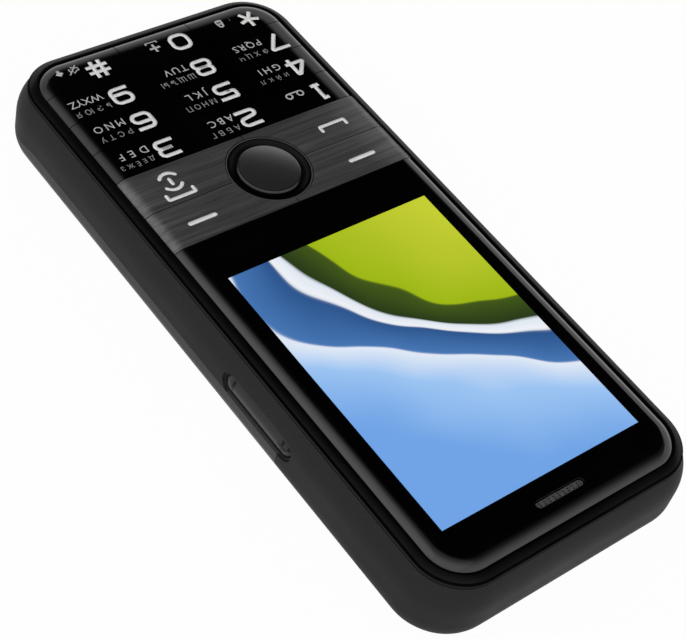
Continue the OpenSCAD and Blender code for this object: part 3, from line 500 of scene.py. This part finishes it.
def makeBrushedPlate():
    look = plateSet
    material, tree, shader = startFinish(
        "brushedPlate", Metallic=look["metal"], Specular_IOR_Level=look["shine"])
    sheet = useGroup(tree, brushed)
    blend = reckon(tree, "MULTIPLY", spread(tree, sheet["Streaks"], *look["streakShare"]),
                   spread(tree, sheet["Bands"], *look["bandShare"]))
    middle = mixColours(tree, blend, look["low"], look["high"])
    # lighter colours towards both ends: a painted sheen that stands for the reflection the rolled ends catch
    sheenedEnds = mixColours(tree, blend, look["endSheenLow"], look["endSheenHigh"])
    aside = reckon(tree, "ABSOLUTE", splitAxes(tree, placeOf(tree))["X"])
    tint = mixColours(tree, spread(tree, aside, 0, 1, *look["endSheenReach"]), middle, sheenedEnds)
    link(tree, tint, shader.inputs["Base Color"])
    link(tree, spread(tree, sheet["Streaks"], *look["rough"]), shader.inputs["Roughness"])
    addRoll(tree, shader, **look["roll"])
    addRelief(tree, shader, sheet["Streaks"], look["depth"])
    return material


# Round key: a satin disc that swells a little, its rounded edge darkened by painted shade; its dish is soft
# black with a fine painted highlight line round it
roundSet = {
    "middle": (0.0, -22.17 * mm),
    "low": srgb(132, 132, 134), "high": srgb(144, 144, 146), "rough": (0.19, 0.23), "metal": 0.94,
    "grain": 9000.0,
    # the edge colour is painted shade, a darker ring on the disc's rounded edge
    "edge": srgb(58, 58, 60), "edgeShadeReach": (5.3 * mm, 5.8 * mm),
    "swell": 0.00060,                # height of the middle over the edge
    "reach": 6.2 * mm,
    "dish": srgb(2, 2, 3), "dishShine": 0.12, "dishRough": (0.3, 0.4),
    # the line is a painted highlight, a thin lighter ring near the dish's outer edge
    "line": srgb(84, 84, 86), "glintLineRadius": 7.75 * mm, "lineHalf": 0.13 * mm,
}


def fromMiddle(tree, middle):
    # distance from an upright axis
    flat = reckonVector(tree, "MULTIPLY", placeOf(tree), (1, 1, 0))
    return reckonVector(tree, "DISTANCE", flat, (*middle, 0))


def ringLine(tree, away, radius, half):
    # mask of a thin ring, soft at its edges
    off = reckon(tree, "ABSOLUTE", reckon(tree, "SUBTRACT", away, radius))
    return spread(tree, off, 1, 0, half / 2, half)


def makeNavSatin():
    look = roundSet
    material, tree, shader = startFinish("navSatin", Metallic=look["metal"])
    tint = addTexture(tree, shader, look, "Grain", "Patches")
    away = fromMiddle(tree, look["middle"])
    # the disc's rounded edge takes a darker colour: painted shade that dims its reflection
    edgeShaded = mixColours(tree, spread(tree, away, 0, 1, *look["edgeShadeReach"]), tint, look["edge"])
    link(tree, edgeShaded, shader.inputs["Base Color"])
    squared = reckon(tree, "POWER", spread(tree, away, 0, 1, 0, look["reach"]), 2.0)
    addRelief(tree, shader, spread(tree, squared, 1, 0, 0, 1), look["swell"])
    return material


def makeNavDish():
    look = roundSet
    material, tree, shader = startFinish("navDish", Specular_IOR_Level=look["dishShine"])
    # a thin lighter ring near the dish's outer edge is a painted highlight
    line = ringLine(tree, fromMiddle(tree, look["middle"]), look["glintLineRadius"], look["lineHalf"])
    link(tree, mixColours(tree, line, look["dish"], look["line"]), shader.inputs["Base Color"])
    patches = useGroup(tree, fineGrain)["Patches"]
    link(tree, spread(tree, patches, *look["dishRough"]), shader.inputs["Roughness"])
    return material


# Glass over the rear camera, with the lens and its ring behind it
lensLow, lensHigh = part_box("camera_window")
lensRadius = (lensHigh.x - lensLow.x) / 2
lensSet = {
    "base": srgb(5, 5, 6), "smear": srgb(9, 9, 11), "rough": (0.04, 0.08), "shine": 0.5,
    "middle": ((lensLow.x + lensHigh.x) / 2, (lensLow.y + lensHigh.y) / 2),
    "lens": srgb(26, 30, 58), "lensReach": (0.20 * lensRadius, 0.42 * lensRadius),
    "ring": srgb(112, 112, 115), "ringRadius": 0.52 * lensRadius,
    "border": srgb(70, 70, 72), "borderRadius": 0.93 * lensRadius,
    "lineHalf": 0.06 * lensRadius,
}


def makeCameraGlass():
    look = lensSet
    material, tree, shader = startFinish("cameraGlass", Specular_IOR_Level=look["shine"])
    tint = polish(tree, shader, look)
    away = fromMiddle(tree, look["middle"])
    tint = mixColours(tree, spread(tree, away, 1, 0, *look["lensReach"]), tint, look["lens"])
    for name in ("ring", "border"):
        line = ringLine(tree, away, look[name + "Radius"], look["lineHalf"])
        tint = mixColours(tree, line, tint, look[name])
    link(tree, tint, shader.inputs["Base Color"])
    return material


# Side key: satin, with dark marks for less and more and a dot, laid out over Y and Z
sideSet = {
    "low": srgb(46, 45, 46), "high": srgb(56, 54, 55), "rough": (0.30, 0.40), "shine": 0.16,
    "grain": 7000.0, "depth": 0.000006,
    "mark": srgb(3, 3, 4), "markEdge": (0.9, 1.1),      # shares of the half size
    "marks": (((10.9, 9.3), (0.34, 1.4)), ((24.6, 9.3), (0.32, 1.3)), ((24.6, 9.3), (1.05, 0.34)),
              ((26.1, 9.9), (0.34, 0.36))),      # middle and half size, in millimetres
}


def makeSideKey():
    look = sideSet
    material, tree, shader = startFinish("sideKey", Specular_IOR_Level=look["shine"])
    tint = addTexture(tree, shader, look, "Grain", "Patches")
    place = placeOf(tree)
    marked = 0.0
    for (y, z), (halfY, halfZ) in look["marks"]:
        away = reckonVector(tree, "SUBTRACT", place, (0, y * mm, z * mm))
        scaled = reckonVector(tree, "MULTIPLY", away, (0, 1 / (halfY * mm), 1 / (halfZ * mm)))
        axes = splitAxes(tree, reckonVector(tree, "ABSOLUTE", scaled))
        wide = reckon(tree, "MAXIMUM", axes["Y"], axes["Z"])
        marked = reckon(tree, "MAXIMUM", marked, spread(tree, wide, 1, 0, *look["markEdge"]))
    link(tree, mixColours(tree, marked, tint, look["mark"]), shader.inputs["Base Color"])
    return material


# Woven wire behind the earpiece and the loudspeaker slots
meshSet = {"wires": 5200.0, "low": srgb(96, 96, 97), "high": srgb(104, 104, 105), "rough": (0.6, 0.45),
           "metal": 0.2, "turn": 45.0, "wireReach": (0.55, 0.95),
           # the bars are slanted bands of painted shade across the weave
           "bars": 600.0, "barShadeDepth": 0.82, "barReach": (-0.4, 0.4), "depth": 0.000001}


def makeMesh():
    look = meshSet
    material, tree, shader = startFinish("wovenMesh", Metallic=look["metal"])
    turn = addNode(tree, "ShaderNodeMapping")
    turn.inputs["Rotation"].default_value = (0, 0, math.radians(look["turn"]))
    link(tree, placeOf(tree), turn.inputs["Vector"])
    axes = splitAxes(tree, turn.outputs[0])

    def wave(axis, perMetre):
        return reckon(tree, "SINE", reckon(tree, "MULTIPLY", axes[axis], perMetre * math.pi))

    wires = [reckon(tree, "ABSOLUTE", wave(axis, look["wires"])) for axis in ("X", "Y")]
    weave = reckon(tree, "MAXIMUM", *wires)
    tint = mixColours(tree, spread(tree, weave, 0, 1, *look["wireReach"]), look["low"], look["high"])
    # slanted bars of painted shade, as folds across the weave would cast
    shade = addNode(tree, "ShaderNodeHueSaturation")
    foldShade = wave("X", look["bars"] * 2)
    link(tree, spread(tree, foldShade, look["barShadeDepth"], 1.0, *look["barReach"]), shade.inputs["Value"])
    link(tree, tint, shade.inputs["Color"])
    link(tree, shade.outputs[0], shader.inputs["Base Color"])
    link(tree, spread(tree, weave, *look["rough"], 0, 1), shader.inputs["Roughness"])
    addRelief(tree, shader, weave, look["depth"])
    return material


# Metals, films and lenses
metalPatches = 140.0        # per metre
metalSet = {
    "stampedSteel": {"low": srgb(168, 168, 172), "high": srgb(200, 200, 203), "rough": (0.24, 0.40),
                     "metal": 1.0, "grain": 2200.0, "depth": 0.000005},
    "contactGold": {"low": srgb(204, 164, 76), "high": srgb(226, 190, 104), "rough": (0.20, 0.34),
                    "metal": 1.0, "grain": 3000.0, "depth": 0.000004},
    "batteryCase": {"low": srgb(126, 130, 134), "high": srgb(148, 152, 156), "rough": (0.34, 0.48),
                    "metal": 0.55, "grain": 1500.0, "depth": 0.000008},
    "flexFilm": {"low": srgb(158, 104, 30), "high": srgb(186, 130, 48), "rough": (0.28, 0.42),
                 "metal": 0.0, "grain": 900.0, "depth": 0.000006},
    "domeFilm": {"low": srgb(184, 188, 192), "high": srgb(206, 208, 212), "rough": (0.22, 0.36),
                 "metal": 0.35, "grain": 1200.0, "depth": 0.000006},
    "litDisplay": {"low": srgb(148, 184, 222), "high": srgb(178, 206, 236), "rough": (0.16, 0.26),
                   "metal": 0.0, "grain": 2000.0, "depth": 0.000003},
    "clearLens": {"low": srgb(214, 212, 200), "high": srgb(232, 230, 220), "rough": (0.06, 0.14),
                  "metal": 0.0, "grain": 1400.0, "depth": 0.000004},
}


def makeMetal(name):
    look = metalSet[name]
    material, tree, shader = startFinish(name, Metallic=look["metal"])
    tint = addTexture(tree, shader, look, "Patches", "Grain", Patches_per_metre=metalPatches)
    link(tree, tint, shader.inputs["Base Color"])
    return material


# Solder mask with copper tracks below it
boardSet = {"mask": srgb(22, 76, 44), "track": srgb(40, 112, 62), "rough": 0.34, "tracks": 420.0,
            "trackReach": (0.06, 0.14), "strayness": 0.35, "depth": 0.00003, "strength": 0.6}


def makeBoard():
    look = boardSet
    material, tree, shader = startFinish("solderMask", Roughness=look["rough"])
    cells = addNode(tree, "ShaderNodeTexVoronoi", feature="DISTANCE_TO_EDGE", distance="EUCLIDEAN")
    cells.inputs["Scale"].default_value = look["tracks"]
    cells.inputs["Randomness"].default_value = look["strayness"]
    link(tree, placeOf(tree), cells.inputs["Vector"])
    lines = spread(tree, cells.outputs["Distance"], 1, 0, *look["trackReach"])
    link(tree, mixColours(tree, lines, look["mask"], look["track"]), shader.inputs["Base Color"])
    addRelief(tree, shader, lines, look["depth"], look["strength"])
    return material


# Ink of the printed marks, a little uneven
inkSet = {"shine": 0.3, "rough": (0.42, 0.6), "grain": 3500.0, "patches": 800.0}
printSet = {"strong": {"low": srgb(238, 238, 238), "high": srgb(250, 250, 250)},
            "faint": {"low": srgb(186, 186, 188), "high": srgb(204, 204, 206)},
            "fainter": {"low": srgb(138, 138, 140), "high": srgb(156, 156, 158)}}


def makePrint(name):
    look = {**inkSet, **printSet[name]}
    material, tree, shader = startFinish(name + "Print", Specular_IOR_Level=look["shine"])
    tint = addTexture(tree, shader, look, "Patches", "Grain", Patches_per_metre=look["patches"])
    link(tree, tint, shader.inputs["Base Color"])
    return material


finishes = {name: makeMoulded(name) for name in mouldedSet}
finishes.update({name: makePolished(name) for name in polishedSet})
finishes.update({name: makeMetal(name) for name in metalSet})
finishes["windowGlass"] = makeWindow()
finishes["brushedPlate"] = makeBrushedPlate()
finishes["cameraGlass"] = makeCameraGlass()
finishes["sideKey"] = makeSideKey()
finishes["navSatin"] = makeNavSatin()
finishes["navDish"] = makeNavDish()
finishes["wovenMesh"] = makeMesh()
finishes["solderMask"] = makeBoard()
prints = {name: makePrint(name) for name in printSet}

slotFinish = {
    "matte_shell": "matteShell", "matte_cover": "matteCover", "matte_key": "sideKey",
    "gloss_rim": "glossRim", "window": "windowGlass", "key_gloss": "keyGloss",
    "brushed_plate": "brushedPlate", "nav_gloss": "navSatin", "mesh": "wovenMesh", "rubber": "rubber",
    "display": "litDisplay", "inner_plastic": "innerPlastic", "flex": "flexFilm", "board": "solderMask",
    "steel": "stampedSteel", "dome_film": "domeFilm", "battery_case": "batteryCase",
    "contact_gold": "contactGold", "clear_lens": "clearLens",
}
for piece in frame["record"]["subparts"]:
    node = nodes[piece["node"]]
    for slot in node.material_slots:
        slot.material = finishes[slotFinish[piece["material_slot"]]]
nodes["camera_window"].material_slots[0].material = finishes["cameraGlass"]
nodes["nav_surround"].material_slots[0].material = finishes["navDish"]
print("finishes set")


# Printed marks: strokes drawn with a flat pen, and small letters
penSet = {
    "flatness": 0.015,          # height of a stroke as a share of its width
    "cornerSteps": 6,
    "capSteps": 5,
    "capTip": 0.02,            # share of the width that a round end keeps
    "digitSize": 4.35,          # millimetres, as are the strokes below
    "digitStroke": 0.82,
    "letterCap": 1.62,
    "upperCap": 1.30,
    "upperLift": 2.75,
    "letterLift": 0.006,        # half the height of a letter
    "letterSpacing": (1.0, 1.5),    # tried, to find the spacing that fills a width
}


def roundedPath(points, radius, closed=False):
    # corners of a drawn line become arcs
    path = []
    count = len(points)
    for index, point in enumerate(points):
        here = Vector(point)
        atEnd = not closed and index in (0, count - 1)
        if atEnd or radius <= 0:
            path.append(here)
            continue
        before = Vector(points[index - 1]) - here
        after = Vector(points[(index + 1) % count]) - here
        turn = before.angle(after)
        cut = min(radius / math.tan(turn / 2), before.length / 2, after.length / 2)
        arc = cut * math.tan(turn / 2)
        start = here + before.normalized() * cut
        middle = here + (before.normalized() + after.normalized()).normalized() * (arc / math.sin(turn / 2))
        first = math.atan2(start.y - middle.y, start.x - middle.x)
        end = here + after.normalized() * cut
        sweep = math.atan2(end.y - middle.y, end.x - middle.x) - first
        sweep = (sweep + math.pi) % (2 * math.pi) - math.pi
        for step in range(penSet["cornerSteps"] + 1):
            angle = first + sweep * step / penSet["cornerSteps"]
            path.append(middle + arc * Vector((math.cos(angle), math.sin(angle))))
    return path


def arcPath(middle, radius, fromAngle, toAngle, steps=16):
    turn = [math.radians(fromAngle + (toAngle - fromAngle) * step / steps) for step in range(steps + 1)]
    return [(middle[0] + radius * math.cos(angle), middle[1] + radius * math.sin(angle)) for angle in turn]


def roundEnd(path, width):
    # knots past the last point of a path, each with its share of the pen's width
    last = Vector(path[-1])
    onward = (last - Vector(path[-2])).normalized() * width / 2
    turns = [math.radians(90) * step / penSet["capSteps"] for step in range(1, penSet["capSteps"] + 1)]
    return [(last + onward * math.sin(turn), max(math.cos(turn), penSet["capTip"])) for turn in turns]


def drawStrokes(strokes, width, rounded=False):
    # each stroke is (points, corner radius, closed), in millimetres
    deselectAll()
    bpy.ops.object.add(type="CURVE")
    drawn = bpy.context.object
    drawn.data.dimensions = "3D"
    drawn.data.twist_mode = "Z_UP"
    drawn.data.bevel_depth = width / 2
    drawn.data.bevel_resolution = 0
    drawn.data.use_fill_caps = True
    for points, radius, closed in strokes:
        path = roundedPath(points, radius, closed)
        knots = [(point, 1.0) for point in path]
        if rounded and not closed:
            knots = roundEnd(path[::-1], width)[::-1] + knots + roundEnd(path, width)
        spline = drawn.data.splines.new("POLY")
        spline.points.add(len(knots) - 1)
        for made, (point, share) in zip(spline.points, knots):
            made.co = (point[0], point[1], 0, 1)
            made.radius = share
        spline.use_cyclic_u = closed
    bpy.ops.object.convert(target="MESH")
    drawn = bpy.context.object
    drawn.data.transform(Matrix.Diagonal((1, 1, penSet["flatness"], 1)))
    return drawn


def setLetters(text, cap, spacing):
    deselectAll()
    bpy.ops.object.text_add()
    words = bpy.context.object
    words.data.body = text
    words.data.size = 1.0
    words.data.space_character = spacing
    words.data.resolution_u = 2
    words.data.extrude = penSet["letterLift"]
    bpy.ops.object.convert(target="MESH")
    words = bpy.context.object
    scale = cap / max(corner.co.y for corner in words.data.vertices)
    words.data.transform(Matrix.Diagonal((scale, scale, 1, 1)))
    left = min(corner.co.x for corner in words.data.vertices)
    words.data.transform(Matrix.Translation((-left, 0, 0)))
    return words, max(corner.co.x for corner in words.data.vertices)


def writeLetters(text, cap, width):
    # the letters stand as far apart as fills the width
    close, wide = penSet["letterSpacing"]
    widths = []
    for spacing in (close, wide):
        trial, reach = setLetters(text, cap, spacing)
        widths.append(reach)
        bpy.data.objects.remove(trial)
    spacing = close + (wide - close) * (width - widths[0]) / (widths[1] - widths[0])
    return setLetters(text, cap, spacing)[0]


def placeMark(mark, x, y, z, material):
    # from millimetres on the page to its place on the phone
    mark.data.transform(Matrix.Diagonal((mm, mm, mm, 1)))
    mark.data.transform(Matrix.Translation((x * mm, y * mm, z)))
    mark.data.materials.clear()
    mark.data.materials.append(material)
    return mark


def joinMarks(name, marks, body):
    deselectAll()
    for mark in marks:
        mark.select_set(True)
    bpy.context.view_layer.objects.active = marks[0]
    if len(marks) > 1:
        bpy.ops.object.join()
    joined = bpy.context.object
    joined.name = name
    joined.data.name = name
    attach(joined, body)


def digitStrokes():
    size = penSet["digitSize"]
    pen = penSet["digitStroke"] / 2
    left, right, low, high, middle = pen, size - pen, pen, size - pen, size / 2
    return {
        "0": [([(left, low), (right, low), (right, high), (left, high)], 1.25, True)],
        "1": [([(0.95, 0), (0.95, size)], 0, False), ([(0.0, high), (0.95, high)], 0, False),
              ([(0.0, low), (1.85, low)], 0, False)],
        "2": [([(0.15, high), (right, high), (right, 2.25), (left, 1.75), (left, low), (size, low)],
               0.85, False)],
        "3": [([(0.15, high), (right, high), (right, middle), (1.0, middle)], 0.85, False),
              ([(1.0, middle), (right, middle), (right, low), (0.15, low)], 0.85, False)],
        "4": [([(3.2, 0), (3.2, size - 0.2), (2.75, size - 0.2), (0.4, 1.2), (size, 1.2)], 0.12, False)],
        "5": [([(size - 0.2, high), (left, high), (left, 2.4), (2.0, 2.4)], 0.2, False),
              ([(1.2, 2.4), (right, 2.4), (right, low), (0.1, low)], 0.9, False)],
        "6": [([(size - 0.2, high), (left, high), (left, low), (right, low), (right, 2.4), (left, 2.4)],
               1.0, False)],
        "7": [([(0.0, high), (size - 0.35, high), (1.1, 0.0)], 0.25, False)],
        "8": [([(left, low), (right, low), (right, middle), (left, middle)], 0.8, True),
              ([(left + 0.15, middle), (right - 0.15, middle), (right - 0.15, high), (left + 0.15, high)],
               0.8, True)],
        "9": [([(0.2, low), (right, low), (right, high), (left, high), (left, 1.8), (right, 1.8)],
               1.0, False)],
        "star": [([(middle, middle), (middle + 2.1 * math.cos(math.radians(turn)),
                                      middle + 2.1 * math.sin(math.radians(turn)))], 0, False)
                 for turn in (90, 162, 234, 306, 18)],
        "hash": [([(1.15, 0), (1.45, size)], 0, False), ([(2.75, 0), (3.05, size)], 0, False),
                 ([(0.0, 1.35), (size, 1.35)], 0, False), ([(0.0, 2.85), (size, 2.85)], 0, False)],
    }


# digit's left edge and foot on each key, then the small letters right of it: left edge and width
keyPrints = {
    "1": {"at": (-21.5, -36.65)},
    "2": {"at": (-6.4, -36.65), "letters": ("ABC", -1.6, 5.3), "upper": ("АБВГ", -1.4, 6.2)},
    "3": {"at": (11.55, -36.65), "letters": ("DEF", 17.0, 5.8), "upper": ("ДЕЁЖЗ", 17.0, 6.9)},
    "4": {"at": (-23.1, -44.2), "letters": ("GHI", -17.7, 4.7), "upper": ("ИЙКЛ", -17.9, 6.1)},
    "5": {"at": (-6.4, -44.2), "letters": ("JKL", -1.1, 4.6), "upper": ("МНОП", -1.3, 6.3)},
    "6": {"at": (11.55, -44.2), "letters": ("MNO", 17.0, 6.2), "upper": ("РСТУ", 16.9, 6.4)},
    "7": {"at": (-23.1, -51.4), "letters": ("PQRS", -18.2, 6.1), "upper": ("ФХЦЧ", -18.2, 6.4)},
    "8": {"at": (-6.4, -51.4), "letters": ("TUV", -1.4, 5.0), "upper": ("ШЩЪЫ", -1.5, 7.2)},
    "9": {"at": (11.55, -51.4), "letters": ("WXYZ", 17.0, 6.8), "upper": ("ЬЭЮЯ", 16.8, 7.0)},
    "star": {"at": (-22.2, -59.15)},
    "0": {"at": (-6.4, -59.15)},
    "hash": {"at": (11.6, -59.15)},
}
smallMarks = {
    # strokes about (0, 0) in millimetres, their place and their pen
    "1": [{"at": (-15.65, -35.75), "pen": 0.34, "strokes": [
        (arcPath((-1.25, 0), 0.62, 0, 360)[:-1], 0, True), (arcPath((1.25, 0), 0.62, 0, 360)[:-1], 0, True),
        ([(-1.25, -0.62), (1.25, -0.62)], 0, False)]}],
    "star": [
        {"at": (-16.45, -58.3), "pen": 0.85, "strokes": [([(-0.02, 0), (0.02, 0)], 0, False)]},
        {"at": (-14.05, -58.35), "pen": 0.4, "strokes": [
            ([(-0.55, -0.5), (0.55, -0.5), (0.55, 0.35), (-0.55, 0.35)], 0.1, True),
            ([(-0.1, -0.1), (0.1, -0.1)], 0, False),
            ([(-0.45, 0.3), *arcPath((0, 0.75), 0.45, 180, 0, 8), (0.45, 0.3)], 0, False)]}],
    "0": [{"at": (1.15, -57.4), "pen": 0.5, "strokes": [
        ([(-1.1, 0), (1.1, 0)], 0, False), ([(0, -1.05), (0, 1.05)], 0, False)]},
        {"at": (1.15, -58.95), "pen": 0.36, "strokes": [
            ([(-1.15, 0.35), (-1.15, -0.1), (1.15, -0.1), (1.15, 0.35)], 0, False)]}],
    "hash": [
        {"at": (18.2, -58.55), "pen": 0.26, "strokes": [
            ([(-1.1, -0.35), (-0.6, -0.35), (0.1, -0.9), (0.1, 0.9), (-0.6, 0.35), (-1.1, 0.35)], 0, True),
            ([(-1.0, -1.0), (1.1, 1.0)], 0, False), ([(0.65, -0.5), (0.65, 0.3)], 0, False)]},
        {"at": (20.95, -58.75), "pen": 0.62, "strokes": [
            ([(0, -0.75), (0, 0.3)], 0, False), ([(-0.6, -0.05), (0, 0.5), (0.6, -0.05)], 0, False)]}],
}


def printKeys():
    digits = digitStrokes()
    for key, look in keyPrints.items():
        node = "key_" + key
        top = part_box(node)[1].z
        x, y = look["at"]
        marks = [placeMark(drawStrokes(digits[key], penSet["digitStroke"]), x, y, top, prints["strong"])]
        for row, cap, lift, ink in (("letters", penSet["letterCap"], 0.0, "faint"),
                                    ("upper", penSet["upperCap"], penSet["upperLift"], "fainter")):
            if row in look:
                text, left, width = look[row]
                marks.append(placeMark(writeLetters(text, cap, width), left, y + lift, top, prints[ink]))
        for small in smallMarks.get(key, ()):
            drawn = drawStrokes(small["strokes"], small["pen"])
            marks.append(placeMark(drawn, *small["at"], top, prints["faint"]))
        joinMarks("print_" + node, marks, node)


functionMarks = {
    "soft_key_left": {"at": (-17.35, -17.15), "pen": 0.88, "strokes": [([(-2.56, 0), (2.56, 0)], 0, False)]},
    "soft_key_right": {"at": (17.75, -17.3), "pen": 0.88, "strokes": [([(-2.56, 0), (2.56, 0)], 0, False)]},
    "call_key": {"at": (-17.4, -26.65), "pen": 0.72, "strokes": [
        ([(-2.75, 1.1), (-2.75, 0), (2.75, 0), (2.75, 1.1)], 0.2, False)]},
    "end_key": {"at": (17.7, -27.1), "pen": 0.72, "strokes": [
        ([(-2.75, 2.6), (-2.75, 3.65), (2.75, 3.65), (2.75, 2.6)], 0.2, False),
        (arcPath((0, -0.15), 2.0, 37, 143), 0, False), (arcPath((0, -0.15), 2.0, 217, 323), 0, False),
        ([(0, -0.7), (0, 0.5)], 0, False)]},
}


def printFunctionKeys():
    for node, look in functionMarks.items():
        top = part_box(node)[1].z
        drawn = drawStrokes(look["strokes"], look["pen"], rounded=True)
        placeMark(drawn, *look["at"], top, prints["strong"])
        joinMarks("print_" + node, [drawn], node)


printKeys()
printFunctionKeys()
print("marks printed")


scene.view_layers[0].update()
